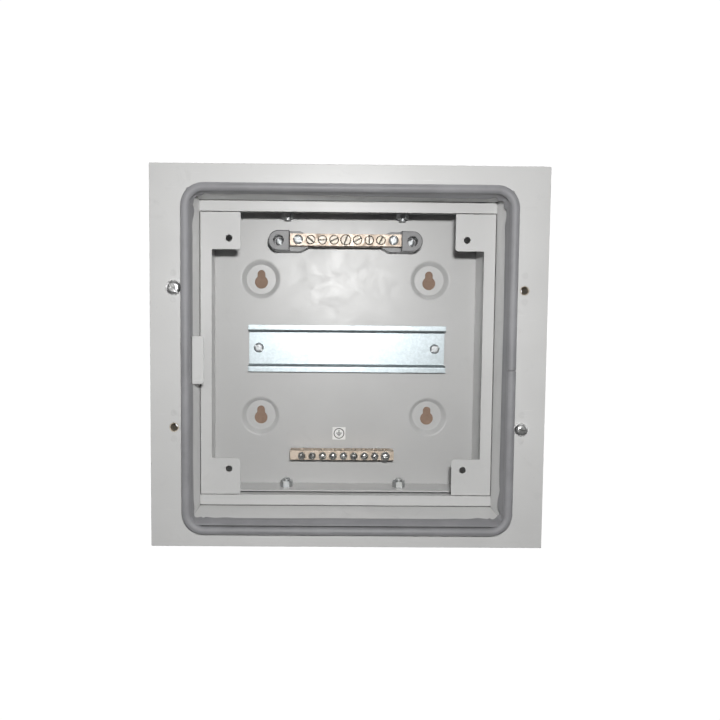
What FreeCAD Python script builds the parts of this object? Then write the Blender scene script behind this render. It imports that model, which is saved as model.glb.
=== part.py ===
import FreeCAD, Part
import math
import os
import Sketcher

# Flush-mounting subpanel enclosure, built as separate welded, screwed and rubber pieces.
# Row frame: +X to the right, +Z up, the open front faces -Y. The wall is the plane Y = 0.
# The origin is the centre of the four keyholes. "Depth" below means distance in front of the wall.
# Every size is in millimetres and lives in the spreadsheet.

os.makedirs("parts", exist_ok=True)
doc = FreeCAD.newDocument("subpanel_enclosure")

SIZES = {
    # folded box
    "sheet_thickness": 1.0,
    "box_width": 199.0,
    "box_height": 207.0,
    "box_rise": 0.7,
    "foot_height": 5.0,
    "strip_depth": 61.0,
    "fold_radius": 1.2,
    "long_strip_width": 7.5,
    "side_strip_width": 8.1,
    "strip_seam": 0.6,
    "tab_inner_half_width": 72.1,
    "tab_inner_half_height": 70.7,
    "tab_corner_radius": 2.2,
    "tab_notch_radius": 0.5,
    "tab_hole_spacing_wide": 159.6,
    "tab_hole_spacing_high": 156.2,
    "tab_hole_radius": 2.3,
    # pressed feet and keyholes
    "keyhole_spacing_wide": 128.0,
    "keyhole_spacing_high": 104.0,
    "keyhole_circle_radius": 5.0,
    "keyhole_slot_half_width": 3.0,
    "keyhole_slot_rise": 6.2,
    "foot_rise": 2.1,
    "foot_rim_radius": 14.0,
    "foot_floor_radius": 11.3,
    "foot_edge_radius": 1.8,
    "foot_floor_edge_radius": 0.8,
    # front frame
    "frame_width": 250.0,
    "frame_height": 242.0,
    "frame_depth": 91.0,
    "rim_turn_back": 8.0,
    "neck_overlap": 8.0,
    "frame_corner_radius": 0.7,
    "rim_fold_radius": 0.55,
    # nut plates and screws of the front frame
    "frame_screw_half_spacing_wide": 110.0,
    "frame_screw_half_spacing_high": 44.0,
    "frame_screw_rise": 0.5,
    "frame_hole_radius": 3.0,
    "nut_plate_width": 12.0,
    "nut_plate_height": 26.0,
    "nut_plate_thickness": 2.0,
    "nut_collar_radius": 4.25,
    "nut_collar_height": 11.0,
    "nut_shank_radius": 2.9,
    "nut_shank_set_back": 0.1,
    "nut_thread_radius": 2.55,
    "frame_screw_radius": 2.5,
    "frame_screw_length": 12.0,
    "frame_screw_head_radius": 4.7,
    "small_frame_head_radius": 4.2,
    "frame_screw_head_height": 2.9,
    "frame_screw_gap": 0.05,
    # rubber seal
    "seal_half_width": 104.9,
    "seal_top": 109.4,
    "seal_bottom": 111.3,
    "seal_bulb_height": 6.0,
    "seal_corner_radius": 14.3,
    "seal_inner_radius": 1.5,
    "seal_crown_radius": 1.7,
    "seal_leg_thickness": 0.9,
    "seal_leg_depth": 6.0,
    "seal_notch_margin": 0.5,
    # latch keeper
    "keeper_reach": 8.0,
    "keeper_height": 30.2,
    "keeper_rise": -0.9,
    "keeper_thickness": 1.5,
    "keeper_set_back": 1.0,
    "keeper_leg": 12.0,
    "keeper_corner_radius": 2.2,
    # mounting rail
    "rail_length": 148.0,
    "rail_shift": 1.5,
    "rail_rise": 2.2,
    "rail_half_height": 17.5,
    "rail_hat_half_height": 13.5,
    "rail_projection": 7.5,
    "rail_thickness": 1.0,
    "rail_outer_fold_radius": 1.8,
    "rail_inner_fold_radius": 0.8,
    "rail_screw_half_spacing": 66.7,
    "rail_screw_head_radius": 3.7,
    "rail_screw_head_height": 2.4,
    "rail_screw_radius": 1.95,
    "rail_screw_length": 5.5,
    "fixing_hole_radius": 2.0,
    # neutral terminal
    "neutral_shift": -0.8,
    "neutral_rise": 81.2,
    "neutral_bar_half_length": 39.7,
    "neutral_bar_half_height": 4.2,
    "neutral_bar_depth": 12.0,
    "neutral_seat_depth": 21.0,
    "neutral_pitch": 8.35,
    "neutral_screw_radius": 3.0,
    "neutral_bore_radius": 3.05,
    "middle_screw_radius": 3.5,
    "middle_bore_radius": 3.55,
    "bore_mouth_chamfer": 0.35,
    "neutral_bore_depth": 8.5,
    "neutral_screw_length": 5.2,
    "neutral_screw_stand": 0.2,
    "neutral_wire_radius": 2.6,
    "neutral_wire_depth": 7.0,
    "bar_fixing_half_spacing": 34.0,
    "bar_fixing_radius": 1.9,
    "bar_fixing_length": 18.0,
    "bar_fixing_head_radius": 3.5,
    "bar_fixing_head_height": 2.4,
    # insulating holders
    "holder_half_height": 7.3,
    "holder_end_centre": 48.4,
    "holder_shoulder": 33.0,
    "holder_tip": 27.4,
    "holder_tip_half_height": 4.6,
    "holder_boss_depth": 28.0,
    "holder_boss_start": 40.6,
    "holder_hole_radius": 3.8,
    "holder_hole_floor": 15.0,
    "holder_screw_head_radius": 3.0,
    "holder_screw_head_height": 2.6,
    "holder_screw_radius": 1.7,
    "holder_screw_length": 13.5,
    "holder_edge_radius": 0.7,
    # earth terminal
    "earth_shift": -1.8,
    "earth_rise": -76.9,
    "earth_bar_half_length": 38.6,
    "earth_bar_half_height": 3.4,
    "earth_bar_depth": 10.0,
    "earth_seat_depth": 11.0,
    "earth_pitch": 7.75,
    "earth_first_screw": -29.9,
    "earth_screw_radius": 2.2,
    "earth_bore_radius": 2.25,
    "earth_head_radius": 2.8,
    "earth_head_height": 2.6,
    "earth_screw_stand": 1.4,
    "earth_screw_length": 6.4,
    "earth_bore_depth": 7.0,
    "earth_wire_radius": 2.2,
    "earth_wire_depth": 6.0,
    "bond_screw_radius": 2.5,
    "bond_bore_radius": 2.55,
    "bond_head_radius": 3.4,
    "bond_head_height": 3.0,
    "earth_post_radius": 3.0,
    "earth_post_half_spacing": 28.0,
    # earth symbol label
    "label_width": 10.0,
    "label_height": 9.6,
    "label_shift": -3.8,
    "label_rise": -63.1,
    "label_thickness": 0.2,
    # cable entry plates
    "entry_half_width": 85.0,
    "entry_rear_depth": 25.7,
    "entry_front_depth": 46.0,
    "entry_plate_half_width": 93.0,
    "entry_plate_rear_depth": 9.0,
    "entry_plate_front_depth": 50.0,
    "entry_plate_thickness": 1.5,
    "entry_seal_thickness": 1.0,
    "entry_seal_margin": 2.0,
    "entry_corner_radius": 4.0,
    "entry_bolt_half_spacing": 42.3,
    "entry_bolt_shift": -0.9,
    "entry_bolt_depth": 15.5,
    "entry_bolt_radius": 2.5,
    "entry_bolt_hole_radius": 2.75,
    "entry_bolt_head_corner_radius": 4.6,
    "entry_bolt_head_height": 3.2,
    "entry_bolt_end": 1.5,
    "entry_nut_corner_radius": 4.6,
    "entry_nut_height": 4.7,
    "entry_nut_thread_radius": 2.55,
    # drive slots
    "slot_width": 1.1,
    "slot_depth": 1.1,
    "crown_share": 0.88,
}

sheet = doc.addObject("Spreadsheet::Sheet", "Dims")
for row, (word, number) in enumerate(SIZES.items(), start=1):
    sheet.set("A%d" % row, word)
    sheet.set("B%d" % row, str(number))
    sheet.setAlias("B%d" % row, word)
doc.recompute()


class Size:
    """A length that carries its number and the spreadsheet expression that drives it."""

    def __init__(self, value, text):
        self.value = float(value)
        self.text = text

    def __add__(self, other):
        other = as_size(other)
        return Size(self.value + other.value, "(%s + %s)" % (self.text, other.text))

    def __sub__(self, other):
        other = as_size(other)
        return Size(self.value - other.value, "(%s - %s)" % (self.text, other.text))

    def __mul__(self, other):
        other = as_size(other)
        return Size(self.value * other.value, "(%s * %s)" % (self.text, other.text))

    def __truediv__(self, other):
        other = as_size(other)
        return Size(self.value / other.value, "(%s / %s)" % (self.text, other.text))

    def __neg__(self):
        return Size(-self.value, "(0 - %s)" % self.text)


def as_size(thing):
    if isinstance(thing, Size):
        return thing
    return Size(thing, "%.6g" % thing)


class SizeTable:
    """Reads a named size from the spreadsheet, as table.box_width."""

    def __getattr__(self, word):
        return Size(SIZES[word], "Dims." + word)


T = SizeTable()
NODES = []


def drive(thing, prop, size):
    thing.setExpression(prop, as_size(size).text)


def new_body(label):
    body = doc.addObject("PartDesign::Body", label)
    body.Label = label
    return body


def keep(thing):
    NODES.append(thing)
    return thing


def place(body, east, front, up, turn=0.0, face="front"):
    """Puts a body's own origin at a place; its own +Z then points to the front, up or down."""
    tilt = {"front": 90.0, "up": 0.0, "down": 180.0}[face]
    spin = FreeCAD.Rotation(FreeCAD.Vector(1, 0, 0), tilt)
    spin = spin.multiply(FreeCAD.Rotation(FreeCAD.Vector(0, 0, 1), turn))
    base = FreeCAD.Vector(as_size(east).value, -as_size(front).value, as_size(up).value)
    body.Placement = FreeCAD.Placement(base, spin)
    drive(body, "Placement.Base.x", east)
    drive(body, "Placement.Base.y", -as_size(front))
    drive(body, "Placement.Base.z", up)


def sketch_on(body, name, plane, offset):
    role = {"front": "XZ_Plane", "side": "YZ_Plane", "floor": "XY_Plane"}[plane]
    sketch = body.newObject("Sketcher::SketchObject", name)
    for feature in body.Origin.OriginFeatures:
        if feature.Role == role:
            sketch.AttachmentSupport = (feature, [""])
    sketch.MapMode = "FlatFace"
    shift = FreeCAD.Vector(0, 0, as_size(offset).value)
    sketch.AttachmentOffset = FreeCAD.Placement(shift, FreeCAD.Rotation())
    drive(sketch, "AttachmentOffset.Base.z", offset)
    return sketch


def pin_point(sketch, geometry, position, point):
    """Ties a sketch point to the sketch origin with two driven distances."""
    for kind, axis, size in (("DistanceX", -2, point[0]), ("DistanceY", -1, point[1])):
        size = as_size(size)
        if size.text == "0":
            sketch.addConstraint(Sketcher.Constraint("PointOnObject", geometry, position, axis))
            continue
        index = sketch.addConstraint(
            Sketcher.Constraint(kind, -1, 1, geometry, position, size.value))
        word = "%s_of_%d" % (kind, geometry)
        sketch.renameConstraint(index, word)
        drive(sketch, "Constraints." + word, size)


def flat_vector(point):
    return FreeCAD.Vector(as_size(point[0]).value, as_size(point[1]).value, 0)


def draw_polygon(sketch, corners):
    first = sketch.GeometryCount
    count = len(corners)
    lines = []
    for number, corner in enumerate(corners):
        following = corners[(number + 1) % count]
        lines.append(Part.LineSegment(flat_vector(corner), flat_vector(following)))
    sketch.addGeometry(lines, False)
    for number in range(count):
        joined = first + (number + 1) % count
        sketch.addConstraint(Sketcher.Constraint("Coincident", first + number, 2, joined, 1))
    for number, corner in enumerate(corners):
        pin_point(sketch, first + number, 1, corner)


def draw_circle(sketch, circle):
    centre = circle[:2]
    radius = as_size(circle[2])
    index = sketch.GeometryCount
    normal = FreeCAD.Vector(0, 0, 1)
    sketch.addGeometry(Part.Circle(flat_vector(centre), normal, radius.value), False)
    pin_point(sketch, index, 3, centre)
    label = sketch.addConstraint(Sketcher.Constraint("Radius", index, radius.value))
    word = "radius_of_%d" % index
    sketch.renameConstraint(label, word)
    drive(sketch, "Constraints." + word, radius)


def extrude(body, name, plane, outlines, start, length, cut=False):
    """Pads (or pockets) outlines from a start plane along that plane's normal."""
    sketch = sketch_on(body, name + "_sketch", plane, start)
    for outline in outlines:
        if isinstance(outline, list):
            draw_polygon(sketch, outline)
        else:
            draw_circle(sketch, outline)
    kind = "PartDesign::Pocket" if cut else "PartDesign::Pad"
    feature = body.newObject(kind, name)
    feature.Profile = sketch
    feature.Length = as_size(length).value
    feature.Reversed = cut
    drive(feature, "Length", length)
    return feature


def rectangle(left, right, low, high):
    return [(left, low), (right, low), (right, high), (left, high)]


def centred(half_width, half_height, rise=0):
    rise = as_size(rise)
    return rectangle(-half_width, half_width, rise - half_height, rise + half_height)


def round_edges(body, name, radius, wanted, kind="PartDesign::Fillet"):
    """Rounds (or chamfers) the edges of the body so far that pass the test."""
    doc.recompute()
    tip = body.Tip
    names = []
    for number, edge in enumerate(tip.Shape.Edges, start=1):
        if wanted(edge):
            names.append("Edge%d" % number)
    if not names:
        raise ValueError("no edges found for " + name)
    feature = body.newObject(kind, name)
    feature.Base = (tip, names)
    prop = "Radius" if kind == "PartDesign::Fillet" else "Size"
    setattr(feature, prop, as_size(radius).value)
    drive(feature, prop, radius)
    return feature


def near(left, right, slack=0.02):
    return abs(left - as_size(right).value) < slack


def runs_along(edge, axis):
    box = edge.BoundBox
    spans = {"x": box.XLength, "y": box.YLength, "z": box.ZLength}
    if spans[axis] < 0.5:
        return False
    others = [spans[name] for name in spans if name != axis]
    return max(others) < 0.01


def group(label, bodies):
    """Identical fasteners share one node, as separate solids."""
    bundle = doc.addObject("Part::Compound", label)
    bundle.Label = label
    bundle.Links = bodies
    return keep(bundle)


BOX_TOP = T.box_rise + T.box_height / 2
BOX_BOTTOM = T.box_rise - T.box_height / 2
BACK_INNER = T.foot_height + T.sheet_thickness
STRIP_BACK = T.strip_depth - T.sheet_thickness


def strip_width_edges(edge):
    """Long outside folds of the folded box: two at the back, two at the front strips."""
    if not runs_along(edge, "x"):
        return False
    spot = edge.BoundBox.Center
    high = near(spot.z, BOX_TOP) or near(spot.z, BOX_BOTTOM)
    deep = near(spot.y, -T.foot_height) or near(spot.y, -T.strip_depth)
    return high and deep


def add_cone(body, name, kind, east, up, start, first_radius, second_radius, height):
    """A cone whose axis runs from its start depth towards the wall."""
    cone = body.newObject("PartDesign::" + kind, name)
    turn = FreeCAD.Rotation(FreeCAD.Vector(1, 0, 0), -90)
    base = FreeCAD.Vector(east.value, -start.value, up.value)
    cone.Placement = FreeCAD.Placement(base, turn)
    drive(cone, "Placement.Base.x", east)
    drive(cone, "Placement.Base.y", -start)
    drive(cone, "Placement.Base.z", up)
    for prop, size in (("Radius1", first_radius), ("Radius2", second_radius), ("Height", height)):
        drive(cone, prop, size)
    return cone


def foot_places():
    for side in (-1, 1):
        for level in (-1, 1):
            yield T.keyhole_spacing_wide / 2 * side, T.keyhole_spacing_high / 2 * level


def make_body_shell():
    """Back, top and bottom walls and their front strips, folded from one sheet."""
    body = new_body("body_shell")
    sheet_size = T.sheet_thickness
    low_strip = BOX_BOTTOM + T.long_strip_width
    high_strip = BOX_TOP - T.long_strip_width
    section = [
        (-T.foot_height, BOX_TOP),
        (-T.strip_depth, BOX_TOP),
        (-T.strip_depth, high_strip),
        (-STRIP_BACK, high_strip),
        (-STRIP_BACK, BOX_TOP - sheet_size),
        (-BACK_INNER, BOX_TOP - sheet_size),
        (-BACK_INNER, BOX_BOTTOM + sheet_size),
        (-STRIP_BACK, BOX_BOTTOM + sheet_size),
        (-STRIP_BACK, low_strip),
        (-T.strip_depth, low_strip),
        (-T.strip_depth, BOX_BOTTOM),
        (-T.foot_height, BOX_BOTTOM),
    ]
    extrude(body, "folded_sheet", "side", [section], -T.box_width / 2, T.box_width)
    round_edges(body, "outside_folds", T.fold_radius, strip_width_edges)
    for number, (east, up) in enumerate(foot_places()):
        add_cone(body, "foot_outside_%d" % number, "AdditiveCone", east, up + T.foot_rise,
                 T.foot_height, T.foot_rim_radius + sheet_size,
                 T.foot_floor_radius + sheet_size, T.foot_height)
    for number, (east, up) in enumerate(foot_places()):
        add_cone(body, "foot_inside_%d" % number, "SubtractiveCone", east, up + T.foot_rise,
                 BACK_INNER, T.foot_rim_radius, T.foot_floor_radius, T.foot_height)
    round_edges(body, "foot_rims", T.foot_edge_radius, is_foot_rim)
    round_edges(body, "foot_floors", T.foot_floor_edge_radius, is_foot_floor)
    circles = [(east, up, T.keyhole_circle_radius) for east, up in foot_places()]
    extrude(body, "keyhole_circles", "front", circles, -1, BACK_INNER, cut=True)
    slots = []
    for east, up in foot_places():
        half = T.keyhole_slot_half_width
        slots.append(rectangle(east - half, east + half, up, up + T.keyhole_slot_rise))
    extrude(body, "keyhole_slots", "front", slots, -1, BACK_INNER, cut=True)
    ends = [(east, up + T.keyhole_slot_rise, T.keyhole_slot_half_width)
            for east, up in foot_places()]
    extrude(body, "keyhole_slot_ends", "front", ends, -1, BACK_INNER, cut=True)
    extrude(body, "screw_holes", "front", back_wall_holes(), T.foot_height - 1, 3, cut=True)
    for word, low in (("lower", BOX_BOTTOM - 1), ("upper", BOX_TOP - sheet_size - 1)):
        cut_entry(body, word, low)
    round_edges(body, "entry_corners", T.entry_corner_radius, is_entry_corner)
    return keep(body)


def is_foot_rim(edge):
    """Rims of the pressed feet on the inside of the back wall."""
    if edge.Curve.TypeId != "Part::GeomCircle":
        return False
    return near(edge.Curve.Radius, T.foot_rim_radius) and near(edge.BoundBox.YMax, -BACK_INNER)


def is_foot_floor(edge):
    """Rims of the flat floors of the pressed feet, on the inside."""
    if edge.Curve.TypeId != "Part::GeomCircle":
        return False
    floor = -T.sheet_thickness
    return near(edge.Curve.Radius, T.foot_floor_radius) and near(edge.BoundBox.YMax, floor)


def back_wall_holes():
    holes = []
    for side in (-1, 1):
        east = T.rail_shift + T.rail_screw_half_spacing * side
        holes.append((east, T.rail_rise, T.fixing_hole_radius))
        east = T.neutral_shift + T.holder_end_centre * side
        holes.append((east, T.neutral_rise, T.holder_screw_radius + 0.05))
    return holes


def cut_entry(body, word, low):
    """Cable entry window and its two bolt holes through the top or bottom wall."""
    window = rectangle(-T.entry_half_width, T.entry_half_width,
                       -T.entry_front_depth, -T.entry_rear_depth)
    extrude(body, word + "_entry_window", "floor", [window], low, T.sheet_thickness + 2, cut=True)
    circles = []
    for side in (-1, 1):
        east = T.entry_bolt_shift + T.entry_bolt_half_spacing * side
        circles.append((east, -T.entry_bolt_depth, T.entry_bolt_hole_radius))
    extrude(body, word + "_entry_bolt_holes", "floor", circles, low,
            T.sheet_thickness + 2, cut=True)


def is_entry_corner(edge):
    spot = edge.BoundBox.Center
    if not runs_along(edge, "z"):
        return False
    wide = near(abs(spot.x), T.entry_half_width)
    deep = near(spot.y, -T.entry_front_depth) or near(spot.y, -T.entry_rear_depth)
    return wide and deep


def make_side_panel(label, side):
    """Flat side wall with a front strip and two square corner tabs for the inner cover."""
    body = new_body(label)
    outer = T.box_width / 2 * side
    inner = (T.box_width / 2 - T.sheet_thickness) * side
    low = BOX_BOTTOM + T.sheet_thickness
    high = BOX_TOP - T.sheet_thickness
    wall = rectangle(outer, inner, low, high)
    extrude(body, "wall", "front", [wall], BACK_INNER, STRIP_BACK - BACK_INNER)
    edge_x = (T.box_width / 2 - T.side_strip_width) * side
    tab_x = T.tab_inner_half_width * side
    tab_low = T.box_rise - T.tab_inner_half_height
    tab_high = T.box_rise + T.tab_inner_half_height
    strip_low = BOX_BOTTOM + T.long_strip_width + T.strip_seam
    strip_high = BOX_TOP - T.long_strip_width - T.strip_seam
    face = [
        (outer, strip_low), (tab_x, strip_low), (tab_x, tab_low), (edge_x, tab_low),
        (edge_x, tab_high), (tab_x, tab_high), (tab_x, strip_high), (outer, strip_high),
    ]
    extrude(body, "front_strip", "front", [face], STRIP_BACK, T.sheet_thickness)

    def is_outside_fold(edge):
        spot = edge.BoundBox.Center
        return runs_along(edge, "z") and near(spot.x, outer) and near(spot.y, -T.strip_depth)

    def is_corner_at(east):
        def test(edge):
            spot = edge.BoundBox.Center
            high_or_low = near(spot.z, tab_low) or near(spot.z, tab_high)
            return runs_along(edge, "y") and high_or_low and near(spot.x, east)
        return test

    round_edges(body, "outside_fold", T.fold_radius, is_outside_fold)
    round_edges(body, "tab_corners", T.tab_corner_radius, is_corner_at(tab_x))
    round_edges(body, "tab_notches", T.tab_notch_radius, is_corner_at(edge_x))
    holes = []
    for level in (-1, 1):
        up = T.box_rise + T.tab_hole_spacing_high / 2 * level
        holes.append((T.tab_hole_spacing_wide / 2 * side, up, T.tab_hole_radius))
    extrude(body, "tab_holes", "front", holes, STRIP_BACK - 1, 3, cut=True)
    return keep(body)


def frame_hole_places():
    for side in (-1, 1):
        for level in (-1, 1):
            up = T.frame_screw_rise + T.frame_screw_half_spacing_high * level
            yield T.frame_screw_half_spacing_wide * side, up


def make_front_frame():
    """Wide front flange with a turned-back rim and a neck that wraps the box."""
    body = new_body("front_frame")
    steel = T.sheet_thickness
    half_w = T.frame_width / 2
    half_h = T.frame_height / 2
    front = T.frame_depth
    rim_back = front - T.rim_turn_back
    neck_back = T.strip_depth - T.neck_overlap
    neck_w = T.box_width / 2
    neck_h = T.box_height / 2
    rise = T.box_rise
    extrude(body, "flange", "front", [centred(half_w, half_h, rise)], rim_back, T.rim_turn_back)
    hollow = centred(half_w - steel, half_h - steel, rise)
    extrude(body, "behind_flange", "front", [hollow], rim_back - 1,
            T.rim_turn_back - steel + 1, cut=True)
    neck = centred(neck_w + steel, neck_h + steel, rise)
    extrude(body, "neck", "front", [neck], neck_back, front - neck_back - steel / 2)
    opening = centred(neck_w, neck_h, rise)
    extrude(body, "opening", "front", [opening], neck_back - 1, front - neck_back + 2, cut=True)

    def is_corner(edge):
        spot = edge.BoundBox.Center
        return runs_along(edge, "y") and near(abs(spot.x), half_w)

    def is_front_rim(edge):
        box = edge.BoundBox
        outer_edge = near(abs(box.Center.x), half_w) or near(abs(box.Center.z - rise.value), half_h)
        corner = box.XLength > 0.5 and box.ZLength > 0.5 and box.YLength < 0.01
        return near(box.YMin, -front) and near(box.YMax, -front) and (outer_edge or corner)

    round_edges(body, "flange_corners", T.frame_corner_radius, is_corner)
    round_edges(body, "rim_fold", T.rim_fold_radius, is_front_rim)
    holes = [(east, up, T.frame_hole_radius) for east, up in frame_hole_places()]
    extrude(body, "nut_holes", "front", holes, front - 2, 3, cut=True)
    return keep(body)


def make_frame_nut_plates():
    """Four nut plates welded behind the flange, each with a shank that stands in its hole."""
    plates = []
    flange_back = T.frame_depth - T.sheet_thickness
    for number, (east, up) in enumerate(frame_hole_places(), start=1):
        body = new_body("frame_nut_plate_%d" % number)
        blank = centred(T.nut_plate_width / 2, T.nut_plate_height / 2)
        extrude(body, "plate", "floor", [blank], -T.nut_plate_thickness, T.nut_plate_thickness)
        collar_low = -T.nut_plate_thickness - T.nut_collar_height
        extrude(body, "collar", "floor", [(0, 0, T.nut_collar_radius)], collar_low,
                T.nut_collar_height)
        extrude(body, "shank", "floor", [(0, 0, T.nut_shank_radius)], 0,
                T.sheet_thickness - T.nut_shank_set_back)
        extrude(body, "thread", "floor", [(0, 0, T.nut_thread_radius)], collar_low - 1,
                T.nut_plate_thickness + T.nut_collar_height + 2, cut=True)
        place(body, east, flange_back, up)
        plates.append(body)
    return group("frame_nut_plates", plates)


def is_crown_of(height):
    def test(edge):
        box = edge.BoundBox
        return near(box.ZMin, height) and near(box.ZMax, height)
    return test


def make_screw(label, head_radius, head_height, shank_radius, shank_length):
    """Round-headed slotted screw about its own +Z; its head stands on its own origin."""
    body = new_body(label)
    extrude(body, "head", "floor", [(0, 0, head_radius)], 0, head_height)
    round_edges(body, "crown", head_height * T.crown_share, is_crown_of(head_height))
    extrude(body, "shank", "floor", [(0, 0, shank_radius)], -shank_length, shank_length)
    groove = centred(head_radius + 1, T.slot_width / 2)
    extrude(body, "slot", "floor", [groove], head_height - T.slot_depth,
            T.slot_depth + 1, cut=True)
    return body


def make_frame_screws():
    """The two screws still standing in the front flange, slots as they were left."""
    spots = {
        "frame_screw_top_left": (-1, 1, -45.0, T.frame_screw_head_radius),
        "frame_screw_bottom_right": (1, -1, -12.0, T.small_frame_head_radius),
    }
    for label, (side, level, turn, head_radius) in spots.items():
        body = make_screw(label, head_radius, T.frame_screw_head_height,
                          T.frame_screw_radius, T.frame_screw_length)
        up = T.frame_screw_rise + T.frame_screw_half_spacing_high * level
        east = T.frame_screw_half_spacing_wide * side
        place(body, east, T.frame_depth + T.frame_screw_gap, up, turn)
        keep(body)


def make_frame_gasket():
    """Rubber seal around the opening: an outer bulb and a thin leg inside the neck."""
    body = new_body("frame_gasket")
    face = T.frame_depth
    half = T.seal_half_width
    leg = T.seal_leg_thickness
    in_w = T.box_width / 2 - leg
    in_h = T.box_height / 2 - leg
    outer = rectangle(-half, half, -T.seal_bottom, T.seal_top)
    inner = centred(in_w, in_h, T.box_rise)
    extrude(body, "bulb", "front", [outer], face, T.seal_bulb_height)

    def is_upright(edge):
        return runs_along(edge, "y")

    def is_inner_upright(edge):
        return runs_along(edge, "y") and near(abs(edge.BoundBox.Center.x), in_w)

    def is_front_edge(edge):
        box = edge.BoundBox
        front = -(face + T.seal_bulb_height)
        return near(box.YMin, front) and near(box.YMax, front)

    round_edges(body, "outer_corners", T.seal_corner_radius, is_upright)
    extrude(body, "bulb_inside", "front", [inner], face - 1, T.seal_bulb_height + 2, cut=True)
    round_edges(body, "inner_corners", T.seal_inner_radius, is_inner_upright)
    round_edges(body, "crown", T.seal_crown_radius, is_front_edge)
    wall = centred(T.box_width / 2, T.box_height / 2, T.box_rise)
    extrude(body, "leg", "front", [wall, inner], face - T.seal_leg_depth, T.seal_leg_depth)
    low = T.keeper_rise - T.keeper_height / 2 - T.seal_notch_margin
    high = T.keeper_rise + T.keeper_height / 2 + T.seal_notch_margin
    notch = rectangle(-T.box_width / 2 - 0.4, -in_w + 1, low, high)
    extrude(body, "keeper_notch", "front", [notch], face - T.seal_leg_depth - 1,
            T.seal_leg_depth + 1, cut=True)
    return keep(body)


def make_latch_keeper():
    """Bent catch plate on the left neck wall for a door latch."""
    body = new_body("latch_keeper")
    wall = -T.box_width / 2
    thick = T.keeper_thickness
    front = T.frame_depth - T.keeper_set_back
    section = [
        (wall, -front), (wall + T.keeper_reach, -front), (wall + T.keeper_reach, thick - front),
        (wall + thick, thick - front), (wall + thick, T.keeper_leg - front),
        (wall, T.keeper_leg - front),
    ]
    low = T.keeper_rise - T.keeper_height / 2
    extrude(body, "bent_plate", "floor", [section], low, T.keeper_height)

    def is_tip_corner(edge):
        spot = edge.BoundBox.Center
        return runs_along(edge, "y") and near(spot.x, wall + T.keeper_reach)

    def is_fold(edge):
        spot = edge.BoundBox.Center
        return runs_along(edge, "z") and near(spot.x, wall) and near(spot.y, -front)

    round_edges(body, "tip_corners", T.keeper_corner_radius, is_tip_corner)
    round_edges(body, "fold", thick, is_fold)
    return keep(body)


def make_rail():
    """Top-hat mounting rail, 35 mm by 7.5 mm, with two screw holes."""
    body = new_body("din_rail")
    rise = T.rail_rise
    thick = T.rail_thickness
    floor = -BACK_INNER
    lip = -(BACK_INNER + T.rail_projection)
    hat = T.rail_hat_half_height
    tall = T.rail_half_height
    section = [
        (floor, rise + hat), (floor, rise - hat), (lip + thick, rise - hat),
        (lip + thick, rise - tall), (lip, rise - tall), (lip, rise - hat + thick),
        (floor - thick, rise - hat + thick), (floor - thick, rise + hat - thick),
        (lip, rise + hat - thick), (lip, rise + tall), (lip + thick, rise + tall),
        (lip + thick, rise + hat),
    ]
    start = T.rail_shift - T.rail_length / 2
    extrude(body, "top_hat", "side", [section], start, T.rail_length)

    def is_outer_fold(edge):
        spot = edge.BoundBox.Center
        above = spot.z - rise.value
        at_floor = near(spot.y, floor) and near(abs(above), hat)
        at_lip = near(spot.y, lip) and near(abs(above), hat - thick)
        return runs_along(edge, "x") and (at_floor or at_lip)

    def is_inner_fold(edge):
        spot = edge.BoundBox.Center
        above = spot.z - rise.value
        at_floor = near(spot.y, floor - thick) and near(abs(above), hat - thick)
        at_lip = near(spot.y, lip + thick) and near(abs(above), hat)
        return runs_along(edge, "x") and (at_floor or at_lip)

    round_edges(body, "outer_folds", T.rail_outer_fold_radius, is_outer_fold)
    round_edges(body, "inner_folds", T.rail_inner_fold_radius, is_inner_fold)
    holes = []
    for side in (-1, 1):
        east = T.rail_shift + T.rail_screw_half_spacing * side
        holes.append((east, rise, T.fixing_hole_radius))
    extrude(body, "rail_holes", "front", holes, T.foot_height, T.rail_thickness + 2, cut=True)
    return keep(body)


def make_rail_screws():
    screws = []
    for number, side in enumerate((-1, 1), start=1):
        body = make_screw("din_rail_screw_%d" % number, T.rail_screw_head_radius,
                          T.rail_screw_head_height, T.rail_screw_radius,
                          T.rail_screw_length)
        east = T.rail_shift + T.rail_screw_half_spacing * side
        place(body, east, BACK_INNER + T.rail_thickness, T.rail_rise, 35.0 * side)
        screws.append(body)
    return group("din_rail_screws", screws)


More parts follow.
